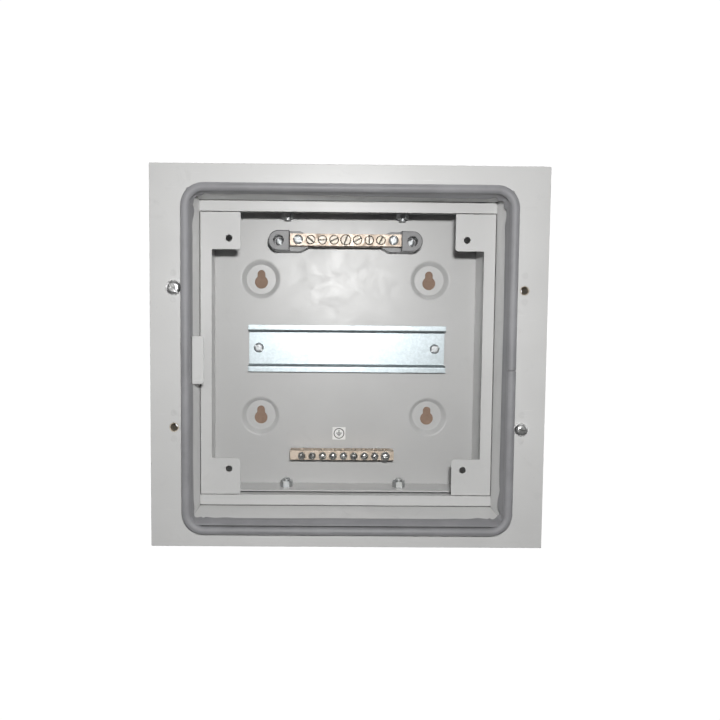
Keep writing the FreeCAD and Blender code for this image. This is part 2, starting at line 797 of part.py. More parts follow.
def make_neutral_holder(label, side):
    """Moulded insulating foot: low under the bar, with a taller round screw boss outside it."""
    body = new_body(label)
    mid = T.neutral_shift
    rise = T.neutral_rise
    tall = T.holder_half_height
    end = mid + T.holder_end_centre * side
    shoulder = mid + T.holder_shoulder * side
    tip = mid + T.holder_tip * side
    small = T.holder_tip_half_height
    outline = [
        (end, rise - tall), (shoulder, rise - tall), (tip, rise - small),
        (tip, rise + small), (shoulder, rise + tall), (end, rise + tall),
    ]
    low_height = T.neutral_seat_depth - BACK_INNER
    boss_height = T.holder_boss_depth - BACK_INNER
    extrude(body, "foot", "front", [outline], BACK_INNER, low_height)
    boss_start = mid + T.holder_boss_start * side
    boss = rectangle(boss_start, end, rise - tall, rise + tall)
    extrude(body, "boss", "front", [boss], BACK_INNER, boss_height)
    extrude(body, "round_end", "front", [(end, rise, tall)], BACK_INNER, boss_height)

    def is_boss_rim(edge):
        box = edge.BoundBox
        front = -T.holder_boss_depth
        return near(box.YMin, front) and near(box.YMax, front)

    round_edges(body, "boss_rim", T.holder_edge_radius, is_boss_rim)
    extrude(body, "head_hole", "front", [(end, rise, T.holder_hole_radius)],
            T.holder_hole_floor, T.holder_boss_depth - T.holder_hole_floor + 1, cut=True)
    extrude(body, "shank_hole", "front", [(end, rise, T.holder_screw_radius + 0.2)],
            T.foot_height, T.holder_hole_floor, cut=True)
    fixing = mid + T.bar_fixing_half_spacing * side
    extrude(body, "bar_fixing_hole", "front", [(fixing, rise, T.bar_fixing_radius + 0.05)],
            BACK_INNER + 4, low_height, cut=True)
    return keep(body)


def make_holder_screws():
    screws = []
    for number, side in enumerate((-1, 1), start=1):
        body = make_screw("neutral_holder_screw_%d" % number, T.holder_screw_head_radius,
                          T.holder_screw_head_height, T.holder_screw_radius,
                          T.holder_screw_length)
        east = T.neutral_shift + T.holder_end_centre * side
        place(body, east, T.holder_hole_floor, T.neutral_rise, 60.0 * side)
        screws.append(body)
    return group("neutral_holder_screws", screws)


def make_bar_fixing_screws():
    screws = []
    front = T.neutral_seat_depth + T.neutral_bar_depth
    for number, side in enumerate((-1, 1), start=1):
        body = make_screw("neutral_bar_screw_%d" % number, T.bar_fixing_head_radius,
                          T.bar_fixing_head_height, T.bar_fixing_radius,
                          T.bar_fixing_length)
        east = T.neutral_shift + T.bar_fixing_half_spacing * side
        place(body, east, front, T.neutral_rise, 20.0 + 50.0 * side)
        screws.append(body)
    return group("neutral_bar_screws", screws)


def make_terminal_bar(label, spec, bores):
    """Brass bar with screw bores from the front that meet vertical wire holes."""
    body = new_body(label)
    low = spec["rise"] - spec["half_height"]
    high = spec["rise"] + spec["half_height"]
    left = spec["shift"] - spec["half_length"]
    right = spec["shift"] + spec["half_length"]
    front = spec["seat"] + spec["depth"]
    extrude(body, "bar", "front", [rectangle(left, right, low, high)], spec["seat"], spec["depth"])
    circles = [(east, spec["rise"], radius) for east, radius in bores]
    floor = front - spec["bore_depth"]
    extrude(body, "bores", "front", circles, floor, spec["bore_depth"] + 1, cut=True)

    def is_bore_mouth(edge):
        box = edge.BoundBox
        round_edge = edge.Curve.TypeId == "Part::GeomCircle"
        return round_edge and near(box.YMin, -front) and near(box.YMax, -front)

    round_edges(body, "bore_mouths", T.bore_mouth_chamfer, is_bore_mouth, "PartDesign::Chamfer")
    wires = [(east, spec["wire_depth"] - front, spec["wire_radius"]) for east, radius in bores]
    extrude(body, "wire_holes", "floor", wires, low - 1, spec["half_height"] * 2 + 2, cut=True)
    if "fixings" in spec:
        circles = [(east, spec["rise"], T.bar_fixing_radius + 0.05) for east in spec["fixings"]]
        extrude(body, "fixing_holes", "front", circles, spec["seat"] - 1,
                spec["depth"] + 2, cut=True)
    return keep(body)


def neutral_bores():
    places = []
    for number in range(7):
        radius = T.middle_bore_radius if number == 3 else T.neutral_bore_radius
        places.append((T.neutral_shift + T.neutral_pitch * (number - 3), radius))
    return places


def make_neutral_bar():
    fixings = [T.neutral_shift + T.bar_fixing_half_spacing * side for side in (-1, 1)]
    spec = {
        "rise": T.neutral_rise, "shift": T.neutral_shift,
        "half_length": T.neutral_bar_half_length, "half_height": T.neutral_bar_half_height,
        "seat": T.neutral_seat_depth, "depth": T.neutral_bar_depth,
        "bore_depth": T.neutral_bore_depth, "wire_radius": T.neutral_wire_radius,
        "wire_depth": T.neutral_wire_depth, "fixings": fixings,
    }
    return make_terminal_bar("neutral_bar", spec, neutral_bores())


def make_headless_screw(label, radius, length):
    """Slotted set screw about its own +Z; its slotted end is at its own origin."""
    body = new_body(label)
    extrude(body, "rod", "floor", [(0, 0, radius)], -length, length)
    round_edges(body, "end_bevel", 0.3, is_crown_of(0), "PartDesign::Chamfer")
    groove = centred(radius + 1, T.slot_width / 2)
    extrude(body, "slot", "floor", [groove], -T.slot_depth, T.slot_depth + 1, cut=True)
    return body


NEUTRAL_TURNS = (-40.0, 5.0, 25.0, 70.0, 30.0, 90.0, 60.0)
EARTH_TURNS = (60.0, 95.0, 10.0, 30.0, -15.0, 80.0, 25.0, 50.0, 15.0)


def make_neutral_terminal_screws():
    front = T.neutral_seat_depth + T.neutral_bar_depth + T.neutral_screw_stand
    for number, (east, bore) in enumerate(neutral_bores()):
        middle = number == 3
        radius = T.middle_screw_radius if middle else T.neutral_screw_radius
        body = make_headless_screw("neutral_terminal_screw_%d" % (number + 1), radius,
                                   T.neutral_screw_length)
        place(body, east, front, T.neutral_rise, NEUTRAL_TURNS[number])
        keep(body)


def earth_bores():
    places = []
    for number in range(9):
        radius = T.bond_bore_radius if number == 8 else T.earth_bore_radius
        east = T.earth_shift + T.earth_first_screw + T.earth_pitch * number
        places.append((east, radius))
    return places


def make_earth_bar():
    spec = {
        "rise": T.earth_rise, "shift": T.earth_shift,
        "half_length": T.earth_bar_half_length, "half_height": T.earth_bar_half_height,
        "seat": T.earth_seat_depth, "depth": T.earth_bar_depth,
        "bore_depth": T.earth_bore_depth, "wire_radius": T.earth_wire_radius,
        "wire_depth": T.earth_wire_depth,
    }
    return make_terminal_bar("earth_bar", spec, earth_bores())


def make_earth_screws():
    stand = T.earth_seat_depth + T.earth_bar_depth + T.earth_screw_stand
    for number, (east, bore) in enumerate(earth_bores()):
        bond = number == 8
        label = "earth_bonding_screw" if bond else "earth_terminal_screw_%d" % (number + 1)
        head = T.bond_head_radius if bond else T.earth_head_radius
        tall = T.bond_head_height if bond else T.earth_head_height
        shank = T.bond_screw_radius if bond else T.earth_screw_radius
        body = make_screw(label, head, tall, shank, T.earth_screw_length)
        place(body, east, stand, T.earth_rise, EARTH_TURNS[number])
        keep(body)


def make_earth_posts():
    """Two short posts that carry the earth bar off the back wall."""
    posts = []
    for number, side in enumerate((-1, 1), start=1):
        body = new_body("earth_bar_post_%d" % number)
        height = T.earth_seat_depth - BACK_INNER
        extrude(body, "post", "floor", [(0, 0, T.earth_post_radius)], 0, height)
        east = T.earth_shift + T.earth_post_half_spacing * side
        place(body, east, BACK_INNER, T.earth_rise)
        posts.append(body)
    return group("earth_bar_posts", posts)


def make_earth_label():
    body = new_body("earth_label")
    patch = rectangle(T.label_shift - T.label_width / 2, T.label_shift + T.label_width / 2,
                      T.label_rise - T.label_height / 2, T.label_rise + T.label_height / 2)
    extrude(body, "patch", "front", [patch], BACK_INNER, T.label_thickness)
    return keep(body)


def entry_bolt_places():
    for side in (-1, 1):
        yield T.entry_bolt_shift + T.entry_bolt_half_spacing * side


def make_entry_sheet(label, low, thickness, margin=None):
    """A flat entry plate, or its seal when a window margin is given."""
    body = new_body(label)
    wide = T.entry_plate_half_width
    outline = rectangle(-wide, wide, -T.entry_plate_front_depth, -T.entry_plate_rear_depth)
    extrude(body, "blank", "floor", [outline], low, thickness)
    circles = [(east, -T.entry_bolt_depth, T.entry_bolt_hole_radius)
               for east in entry_bolt_places()]
    extrude(body, "bolt_holes", "floor", circles, low - 1, thickness + 2, cut=True)
    if margin is not None:
        window = rectangle(-T.entry_half_width - margin, T.entry_half_width + margin,
                           -T.entry_front_depth - margin, -T.entry_rear_depth + margin)
        extrude(body, "window", "floor", [window], low - 1, thickness + 2, cut=True)

    def is_outer_corner(edge):
        spot = edge.BoundBox.Center
        return runs_along(edge, "z") and near(abs(spot.x), wide)

    round_edges(body, "plate_corners", T.entry_corner_radius / 2, is_outer_corner)
    return keep(body)


def hexagon(corner_radius):
    points = []
    for number in range(6):
        angle = math.radians(60.0 * number)
        east = corner_radius * round(math.cos(angle), 6)
        up = corner_radius * round(math.sin(angle), 6)
        points.append((east, up))
    return points


def make_entry_fasteners():
    """Hexagon bolts from outside and nuts inside, for both cable entry plates."""
    bolts = []
    nuts = []
    stack = T.entry_plate_thickness + T.entry_seal_thickness
    for word, wall, side in (("top", BOX_TOP, 1), ("bottom", BOX_BOTTOM, -1)):
        outward = "up" if side > 0 else "down"
        inward = "down" if side > 0 else "up"
        for number, east in enumerate(entry_bolt_places(), start=1):
            bolt = new_body("%s_entry_bolt_%d" % (word, number))
            extrude(bolt, "head", "floor", [hexagon(T.entry_bolt_head_corner_radius)],
                    0, T.entry_bolt_head_height)
            length = stack + T.sheet_thickness + T.entry_nut_height + T.entry_bolt_end
            extrude(bolt, "shank", "floor", [(0, 0, T.entry_bolt_radius)], -length, length)
            place(bolt, east, T.entry_bolt_depth, wall + stack * side, 0.0, outward)
            bolts.append(bolt)
            nut = new_body("%s_entry_nut_%d" % (word, number))
            extrude(nut, "block", "floor", [hexagon(T.entry_nut_corner_radius)],
                    0, T.entry_nut_height)
            extrude(nut, "thread", "floor", [(0, 0, T.entry_nut_thread_radius)], -1,
                    T.entry_nut_height + 2, cut=True)
            inside = wall - T.sheet_thickness * side
            place(nut, east, T.entry_bolt_depth, inside, 0.0, inward)
            nuts.append(nut)
    group("entry_plate_bolts", bolts)
    group("entry_plate_nuts", nuts)


def make_entry_plates():
    seal = T.entry_seal_thickness
    plate = T.entry_plate_thickness
    make_entry_sheet("top_entry_seal", BOX_TOP, seal, T.entry_seal_margin)
    make_entry_sheet("top_entry_plate", BOX_TOP + seal, plate)
    make_entry_sheet("bottom_entry_seal", BOX_BOTTOM - seal, seal, T.entry_seal_margin)
    make_entry_sheet("bottom_entry_plate", BOX_BOTTOM - seal - plate, plate)


make_body_shell()
make_side_panel("left_side_panel", -1)
make_side_panel("right_side_panel", 1)
make_front_frame()
make_frame_nut_plates()
make_frame_screws()
make_frame_gasket()
make_latch_keeper()
make_rail()
make_rail_screws()
make_neutral_holder("neutral_holder_left", -1)
make_neutral_holder("neutral_holder_right", 1)
make_holder_screws()
make_neutral_bar()
make_bar_fixing_screws()
make_neutral_terminal_screws()
make_earth_bar()
make_earth_screws()
make_earth_posts()
make_earth_label()
make_entry_plates()
make_entry_fasteners()

doc.recompute()


def check_everything():
    """Stops the build if any object failed, is empty or is not a valid shape."""
    for thing in doc.Objects:
        for word in ("Invalid", "Error"):
            if word in thing.State:
                raise ValueError("%s is %s" % (thing.Label, word))
        if thing.TypeId in ("PartDesign::Pocket", "PartDesign::SubtractiveCone"):
            before = thing.BaseFeature.Shape.Volume
            if thing.Shape.Volume > before - 0.001:
                raise ValueError("%s cut nothing" % thing.Label)
    for node in NODES:
        if node.Shape.isNull() or not node.Shape.isValid():
            raise ValueError("%s has a bad shape" % node.Label)


check_everything()
for node in NODES:
    node.Shape.exportStep("parts/%s.step" % node.Label)
    print("%s: %d solid(s), %.1f mm3" % (node.Label, len(node.Shape.Solids), node.Shape.Volume))
print("nodes: %d" % len(NODES))
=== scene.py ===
import math

import bmesh
import bpy
from mathutils import Matrix, Vector, noise


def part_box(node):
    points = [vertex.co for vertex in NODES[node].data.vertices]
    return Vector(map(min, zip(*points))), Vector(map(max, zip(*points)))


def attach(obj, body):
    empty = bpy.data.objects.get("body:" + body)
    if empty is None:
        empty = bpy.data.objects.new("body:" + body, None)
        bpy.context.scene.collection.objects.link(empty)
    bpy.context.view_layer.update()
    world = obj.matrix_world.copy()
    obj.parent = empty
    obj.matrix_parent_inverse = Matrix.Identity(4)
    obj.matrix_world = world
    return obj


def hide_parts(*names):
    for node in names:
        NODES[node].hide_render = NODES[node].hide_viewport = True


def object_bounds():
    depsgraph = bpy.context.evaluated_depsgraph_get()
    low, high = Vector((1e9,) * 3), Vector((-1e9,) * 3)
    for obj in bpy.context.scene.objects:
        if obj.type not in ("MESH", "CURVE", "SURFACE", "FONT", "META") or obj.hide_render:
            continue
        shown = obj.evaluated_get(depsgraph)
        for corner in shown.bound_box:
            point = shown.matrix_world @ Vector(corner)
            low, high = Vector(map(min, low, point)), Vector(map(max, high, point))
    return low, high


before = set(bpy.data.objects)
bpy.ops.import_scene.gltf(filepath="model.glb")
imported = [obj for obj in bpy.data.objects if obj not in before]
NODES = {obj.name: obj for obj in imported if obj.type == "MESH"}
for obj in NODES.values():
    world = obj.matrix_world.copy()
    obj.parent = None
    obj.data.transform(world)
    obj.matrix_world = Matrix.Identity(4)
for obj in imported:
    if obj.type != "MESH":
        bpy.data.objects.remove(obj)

# Looks of the subpanel enclosure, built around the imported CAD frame.
# Metres throughout, in the row frame: +X right, +Z up, the open front faces -Y.

CAD_BOX = [list(corner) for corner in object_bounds()]
MM = 0.001
ROOT_BODY = "enclosure"


# ---------------------------------------------------------------- node graphs


class Graph:
    """A short way to build one material's node tree around a Principled shader.

    Methods return a socket; spread and blend take a socket or a number as their value.
    """

    def __init__(self, name):
        self.material = bpy.data.materials.new(name)
        self.material.use_nodes = True
        self.tree = self.material.node_tree
        self.tree.nodes.clear()
        self.output = self.tree.nodes.new("ShaderNodeOutputMaterial")
        self.shader = self.tree.nodes.new("ShaderNodeBsdfPrincipled")
        self.tree.links.new(self.shader.outputs["BSDF"], self.output.inputs["Surface"])
        self.coords = self.tree.nodes.new("ShaderNodeTexCoord")

    def link(self, source, target):
        self.tree.links.new(source, target)

    def feed(self, socket, value):
        """Links a socket, or sets a plain number or colour on it."""
        if isinstance(value, bpy.types.NodeSocket):
            self.link(value, socket)
        else:
            socket.default_value = value

    def stretched(self, scale, coords="Object"):
        """Coordinates scaled by three numbers, for grain that runs one way."""
        mapping = self.tree.nodes.new("ShaderNodeMapping")
        mapping.inputs["Scale"].default_value = scale
        self.link(self.coords.outputs[coords], mapping.inputs["Vector"])
        return mapping.outputs["Vector"]

    def noise(self, size, detail=2.0, roughness=0.5, vector=None, distortion=0.0):
        """Smooth noise whose blobs are about size metres across."""
        node = self.tree.nodes.new("ShaderNodeTexNoise")
        node.inputs["Scale"].default_value = 1.0 / size
        node.inputs["Detail"].default_value = detail
        node.inputs["Roughness"].default_value = roughness
        node.inputs["Distortion"].default_value = distortion
        self.link(vector or self.coords.outputs["Object"], node.inputs["Vector"])
        return node.outputs["Fac"]

    def times(self, first, second):
        """The product of two values."""
        node = self.tree.nodes.new("ShaderNodeMath")
        node.operation = "MULTIPLY"
        self.feed(node.inputs[0], first)
        self.feed(node.inputs[1], second)
        return node.outputs["Value"]

    def spread(self, value, low, high, to_low=0.0, to_high=1.0):
        """Maps low..high to to_low..to_high, held at both ends."""
        node = self.tree.nodes.new("ShaderNodeMapRange")
        node.interpolation_type = "SMOOTHSTEP"
        self.feed(node.inputs["Value"], value)
        node.inputs["From Min"].default_value = low
        node.inputs["From Max"].default_value = high
        node.inputs["To Min"].default_value = to_low
        node.inputs["To Max"].default_value = to_high
        return node.outputs["Result"]

    def blend(self, factor, first, second):
        """The first colour at factor 0, the second at factor 1."""
        node = self.tree.nodes.new("ShaderNodeMix")
        node.data_type = "RGBA"
        self.feed(node.inputs["Factor"], factor)
        self.feed(node.inputs["A"], rgba(first))
        self.feed(node.inputs["B"], rgba(second))
        return node.outputs["Result"]

    def bump(self, height, depth, strength, base=None):
        """Bump whose full height is depth metres."""
        node = self.tree.nodes.new("ShaderNodeBump")
        node.inputs["Strength"].default_value = strength
        node.inputs["Distance"].default_value = depth
        self.feed(node.inputs["Height"], height)
        if base is not None:
            self.link(base, node.inputs["Normal"])
        return node.outputs["Normal"]

    def rounded(self, radius):
        """A normal that rounds hard edges a little, to start a bump from."""
        bevel = self.tree.nodes.new("ShaderNodeBevel")
        bevel.samples = 4
        bevel.inputs["Radius"].default_value = radius
        return bevel.outputs["Normal"]

    def edges(self, radius):
        """0 on flat ground, towards 1 within radius of a hard edge."""
        plain = self.tree.nodes.new("ShaderNodeNewGeometry")
        dot = self.tree.nodes.new("ShaderNodeVectorMath")
        dot.operation = "DOT_PRODUCT"
        self.link(self.rounded(radius), dot.inputs[0])
        self.link(plain.outputs["Normal"], dot.inputs[1])
        return self.spread(dot.outputs["Value"], 1.0, 0.75)

    def recesses(self, reach, shallow, deep):
        """0 in the open, towards 1 in slots and gaps narrower than reach."""
        occlusion = self.tree.nodes.new("ShaderNodeAmbientOcclusion")
        occlusion.samples = 6
        occlusion.inputs["Distance"].default_value = reach
        return self.spread(occlusion.outputs["AO"], shallow, deep)

    def set(self, **values):
        """Sets or links the shader's inputs, named in lower case with underscores."""
        for word, value in values.items():
            name = word.replace("_", " ").title().replace("Ior", "IOR")
            self.feed(self.shader.inputs[name], value)


def rgba(value):
    """A socket as it is, and a colour of three numbers with full alpha."""
    if isinstance(value, bpy.types.NodeSocket):
        return value
    return (value[0], value[1], value[2], 1.0)


def shade(tone, factor):
    """A colour made darker or lighter, no lighter than white."""
    return [min(1.0, channel * factor) for channel in tone]


# ------------------------------------------------------------------ materials

# Tones as linear red, green and blue.
COATING = (0.56, 0.56, 0.557)
# Near-black painted into the coating's seams, gaps and corners as shade.
COATING_PAINTED_SHADE = (0.04, 0.038, 0.036)
RUBBER = (0.232, 0.232, 0.243)
BLACK_RUBBER = (0.018, 0.018, 0.018)
DUSTY_BLACK_RUBBER = (0.04, 0.04, 0.04)
ZINC = (0.475, 0.53, 0.555)
BOLT_ZINC = (0.68, 0.70, 0.71)
YELLOW_ZINC = (0.70, 0.63, 0.53)
NICKEL = (0.62, 0.62, 0.61)
FRAME_NICKEL = (0.80, 0.80, 0.80)
OLD_STEEL = (0.50, 0.46, 0.41)
# Near-black painted into metal slots and gaps as shade, with some dirt.
METAL_PAINTED_SHADE = (0.03, 0.028, 0.025)
NEUTRAL_BRASS = (0.47, 0.40, 0.34)
NEUTRAL_TARNISH = (0.28, 0.22, 0.17)
EARTH_BRASS = (0.64, 0.55, 0.46)
EARTH_TARNISH = (0.45, 0.37, 0.29)
PLASTIC = (0.19, 0.19, 0.195)
LABEL_WHITE = (0.86, 0.86, 0.85)
LABEL_DIRT = (0.7, 0.69, 0.66)
INK = (0.015, 0.015, 0.017)
THIN_INK = (0.09, 0.09, 0.09)

ALONG_X = (0.05, 1.0, 1.0)
RAIL_GRAIN = (0.03, 1.0, 1.0)
UPRIGHT_SCRATCHES = (1.0, 1.0, 26.0)
SEAL_GRAIN = (0.02, 1.0, 1.0)


def coated_steel(name, tone, marks, folded=True):
    """Light grey powder coat: orange peel, faint clouds, handling marks and painted shade
    darkening its gaps.

    marks is the strength of the smears and scratches. A folded sheet also has rounded edges
    painted paler: partly thinner paint, partly a painted highlight along the bends.
    """
    g = Graph(name)
    cloud = g.noise(60 * MM, 3.0)
    colour = g.blend(g.spread(cloud, 0.35, 0.7), shade(tone, 0.97), shade(tone, 1.02))
    dust = g.noise(1.1 * MM, 2.0, 0.7)
    colour = g.blend(g.spread(dust, 0.68, 0.8, 0.0, 0.35), colour, shade(tone, 0.55))
    smear = g.noise(18 * MM, 6.0, 0.65, distortion=1.2)
    smear_mask = g.spread(smear, 0.56, 0.74, 0.0, marks)
    colour = g.blend(smear_mask, colour, shade(tone, 0.86))
    scratch_grain = g.noise(20 * MM, 2.0, 0.4, g.stretched(UPRIGHT_SCRATCHES))
    scratch = g.spread(scratch_grain, 0.735, 0.76, 0.0, marks)
    colour = g.blend(scratch, colour, shade(tone, 1.15))
    # Folded edges painted paler: partly thinner paint, partly a painted highlight along the bends.
    if folded:
        patches = g.spread(g.noise(6 * MM, 4.0), 0.45, 0.7, 0.1, 0.6)
        worn = g.times(g.edges(0.5 * MM), patches)
        colour = g.blend(worn, colour, shade(tone, 1.18))
    # Painted shade: seams, gaps and corners darkened where shade falls in them.
    dirt_and_painted_shade = g.times(g.recesses(1.6 * MM, 0.55, 0.2), 0.85)
    colour = g.blend(dirt_and_painted_shade, colour, COATING_PAINTED_SHADE)
    rough = g.spread(smear, 0.3, 0.75, 0.36, 0.45)
    peel = g.noise(1.6 * MM, 2.0, 0.55)
    normal = g.bump(peel, 0.05 * MM, 0.5, g.rounded(0.25 * MM) if folded else None)
    wave = g.noise(50 * MM, 1.0)
    normal = g.bump(wave, 0.5 * MM, 0.35, normal)
    g.set(base_color=colour, roughness=rough, normal=normal)
    g.set(specular_ior_level=0.6, diffuse_roughness=0.3)
    return g.material


def seal_rubber(name, tone):
    """Extruded grey rubber: fine lines along its length, bloom and dust."""
    g = Graph(name)
    lines = g.noise(0.5 * MM, 3.0, 0.6, g.stretched(SEAL_GRAIN, "UV"))
    bloom = g.noise(22 * MM, 5.0, 0.6)
    colour = g.blend(g.spread(bloom, 0.35, 0.7), shade(tone, 0.9), shade(tone, 1.1))
    dust = g.noise(0.9 * MM, 3.0, 0.7)
    colour = g.blend(g.spread(dust, 0.62, 0.8, 0.0, 0.3), colour, shade(tone, 1.5))
    colour = g.blend(g.spread(lines, 0.55, 0.75, 0.0, 0.22), colour, shade(tone, 0.7))
    rough = g.spread(bloom, 0.3, 0.75, 0.48, 0.66)
    normal = g.bump(lines, 0.05 * MM, 0.55)
    normal = g.bump(dust, 0.04 * MM, 0.35, normal)
    g.set(base_color=colour, roughness=rough, normal=normal, specular_ior_level=0.45)
    g.set(sheen_weight=0.12, sheen_roughness=0.5)
    return g.material


def sheet_rubber(name):
    """Matt black sheet rubber of the cable entry seals."""
    g = Graph(name)
    grain = g.noise(0.4 * MM, 3.0, 0.65)
    colour = g.blend(g.spread(grain, 0.4, 0.7), BLACK_RUBBER, DUSTY_BLACK_RUBBER)
    g.set(base_color=colour, roughness=g.spread(grain, 0.3, 0.7, 0.6, 0.8))
    g.set(normal=g.bump(grain, 0.05 * MM, 0.6))
    return g.material


def plated_metal(name, tone, rough_low, rough_high, lines=None, yellow=0.0, dirt_and_painted_shade=0.0):
    """Zinc or nickel plating: mottled metal, brighter where its edges are worn.

    lines stretches the grain of a rolled part. yellow is how far stains go towards yellow, and the
    last argument is how strongly painted shade, with some dirt, darkens slots and gaps.
    """
    g = Graph(name)
    mottle = g.noise(2.4 * MM, 4.0, 0.65, distortion=0.6)
    colour = g.blend(g.spread(mottle, 0.35, 0.68), shade(tone, 0.84), tone)
    stain = g.noise(12 * MM, 4.0, 0.6)
    stained = (tone[0] * 0.86, tone[1] * (0.84 - 0.04 * yellow), tone[2] * (0.8 - 0.3 * yellow))
    colour = g.blend(g.spread(stain, 0.5, 0.75, 0.0, 0.35 + 0.4 * yellow), colour, stained)
    worn = g.times(g.edges(0.35 * MM), g.spread(g.noise(3 * MM, 3.0), 0.4, 0.65))
    colour = g.blend(worn, colour, shade(tone, 1.2))
    # Painted shade, with some dirt: slots and gaps darkened where shade falls in them.
    if dirt_and_painted_shade > 0.0:
        painted_slot_shade = g.times(g.recesses(1.2 * MM, 0.92, 0.5), dirt_and_painted_shade)
        colour = g.blend(painted_slot_shade, colour, METAL_PAINTED_SHADE)
    normal = g.rounded(0.15 * MM)
    if lines is not None:
        grain = g.noise(0.25 * MM, 3.0, 0.6, g.stretched(lines))
        rough = g.spread(grain, 0.3, 0.7, rough_low, rough_high)
        normal = g.bump(grain, 0.012 * MM, 0.6, normal)
    else:
        rough = g.spread(mottle, 0.3, 0.7, rough_low, rough_high)
    normal = g.bump(mottle, 0.03 * MM, 0.4, normal)
    g.set(base_color=colour, metallic=1.0, roughness=rough, normal=normal)
    return g.material


def brass(name, clean, dull):
    """Machined brass bar: milling lines along it, tarnish in patches, bright edges."""
    g = Graph(name)
    milling = g.noise(0.3 * MM, 3.0, 0.6, g.stretched(ALONG_X))
    tarnish = g.noise(5 * MM, 5.0, 0.65, distortion=0.8)
    colour = g.blend(g.spread(tarnish, 0.42, 0.72, 0.0, 0.75), clean, dull)
    colour = g.blend(g.spread(milling, 0.5, 0.8, 0.0, 0.35), colour, shade(clean, 0.7))
    bright = g.times(g.edges(0.3 * MM), 0.6)
    colour = g.blend(bright, colour, shade(clean, 1.45))
    rough = g.spread(tarnish, 0.3, 0.8, 0.5, 0.68)
    normal = g.bump(milling, 0.02 * MM, 0.8, g.rounded(0.2 * MM))
    g.set(base_color=colour, metallic=1.0, roughness=rough, normal=normal)
    return g.material


def moulded_plastic(name, tone):
    """Spark-eroded dark plastic with a faint sheen and paler rubbed edges."""
    g = Graph(name)
    grain = g.noise(0.35 * MM, 2.0, 0.6)
    cloud = g.noise(9 * MM, 4.0, 0.6)
    colour = g.blend(g.spread(cloud, 0.35, 0.7), shade(tone, 0.85), shade(tone, 1.15))
    rub = g.times(g.edges(0.5 * MM), g.spread(g.noise(4 * MM, 3.0), 0.4, 0.7, 0.2, 0.8))
    colour = g.blend(rub, colour, shade(tone, 1.8))
    rough = g.spread(cloud, 0.3, 0.7, 0.34, 0.48)
    normal = g.bump(grain, 0.03 * MM, 0.5, g.rounded(0.3 * MM))
    g.set(base_color=colour, roughness=rough, normal=normal, specular_ior_level=0.5)
    return g.material


def label_film(name):
    """White vinyl label with a faint paper tooth and grubby edges."""
    g = Graph(name)
    tooth = g.noise(0.25 * MM, 3.0, 0.6)
    dirt_and_painted_shade = g.noise(3 * MM, 4.0, 0.6)
    colour = g.blend(g.spread(dirt_and_painted_shade, 0.45, 0.75, 0.0, 0.5), LABEL_WHITE, LABEL_DIRT)
    g.set(base_color=colour, roughness=g.spread(tooth, 0.3, 0.7, 0.3, 0.42))
    g.set(normal=g.bump(tooth, 0.01 * MM, 0.4), coat_weight=0.2, coat_roughness=0.2)
    return g.material


def printed_ink(name):
    """Black printing ink with slight starving."""
    g = Graph(name)
    starve = g.noise(0.2 * MM, 3.0, 0.7)
    colour = g.blend(g.spread(starve, 0.5, 0.8), INK, THIN_INK)
    g.set(base_color=colour, roughness=g.spread(starve, 0.3, 0.7, 0.35, 0.5))
    return g.material


def give(material, *names):
    """Puts one material on CAD nodes, in every slot they have."""
    for name in names:
        mesh = NODES[name].data
        mesh.materials.clear()
        mesh.materials.append(material)


def finish_cad_nodes():
    """Gives every CAD node its material."""
    box_coat = coated_steel("box_coating", shade(COATING, 0.95), 0.25)
    give(box_coat, "body_shell", "left_side_panel", "right_side_panel")
    give(box_coat, "top_entry_plate", "bottom_entry_plate")
    give(coated_steel("frame_coating", COATING, 0.45), "front_frame")
    give(coated_steel("keeper_coating", shade(COATING, 0.96), 0.6), "latch_keeper")
    give(sheet_rubber("entry_seal_rubber"), "top_entry_seal", "bottom_entry_seal")
    give(plated_metal("rail_zinc", ZINC, 0.42, 0.54, lines=RAIL_GRAIN), "din_rail")
    # Where plated_metal is given a darkening amount, it is painted shade, with some dirt, in slots
    # and gaps.
    give(plated_metal("plated_hardware", BOLT_ZINC, 0.46, 0.62, yellow=0.2, dirt_and_painted_shade=0.35),
         "entry_plate_bolts", "entry_plate_nuts", "earth_bar_posts")
    give(plated_metal("bright_fixings", BOLT_ZINC, 0.55, 0.7, yellow=0.1),
         "din_rail_screws", "neutral_holder_screws", "neutral_bar_screws")
    give(plated_metal("nut_plate_zinc", YELLOW_ZINC, 0.6, 0.8, yellow=0.4), "frame_nut_plates")
    heads = plated_metal("terminal_screw_nickel", NICKEL, 0.25, 0.42, yellow=0.2, dirt_and_painted_shade=0.8)
    set_screws = plated_metal("set_screw_steel", OLD_STEEL, 0.5, 0.64, yellow=0.5, dirt_and_painted_shade=0.95)
    for name in NODES:
        if name.startswith("neutral_terminal_screw"):
            give(set_screws, name)
        if name.startswith("earth_terminal_screw") or name == "earth_bonding_screw":
            give(heads, name)
    give(plated_metal("frame_screw_zinc", FRAME_NICKEL, 0.28, 0.42, yellow=0.1, dirt_and_painted_shade=0.3),
         "frame_screw_top_left", "frame_screw_bottom_right")
    give(brass("neutral_brass", NEUTRAL_BRASS, NEUTRAL_TARNISH), "neutral_bar")
    give(brass("earth_brass", EARTH_BRASS, EARTH_TARNISH), "earth_bar")
    give(moulded_plastic("holder_plastic", PLASTIC), "neutral_holder_left", "neutral_holder_right")
    give(label_film("label_film"), "earth_label")


# --------------------------------------------------------------- mesh helpers


def add_to_scene(name, data):
    """A new object of the scene around a mesh, a light or a camera."""
    thing = bpy.data.objects.new(name, data)
    bpy.context.scene.collection.objects.link(thing)
    return thing


def add_piece(name, vertices, faces, material, smooth=True):
    """A new object from plain points and faces, with one material."""
    mesh = bpy.data.meshes.new(name)
    mesh.from_pydata(vertices, [], faces)
    mesh.update()
    for polygon in mesh.polygons:
        polygon.use_smooth = smooth
    mesh.materials.append(material)
    return add_to_scene(name, mesh)


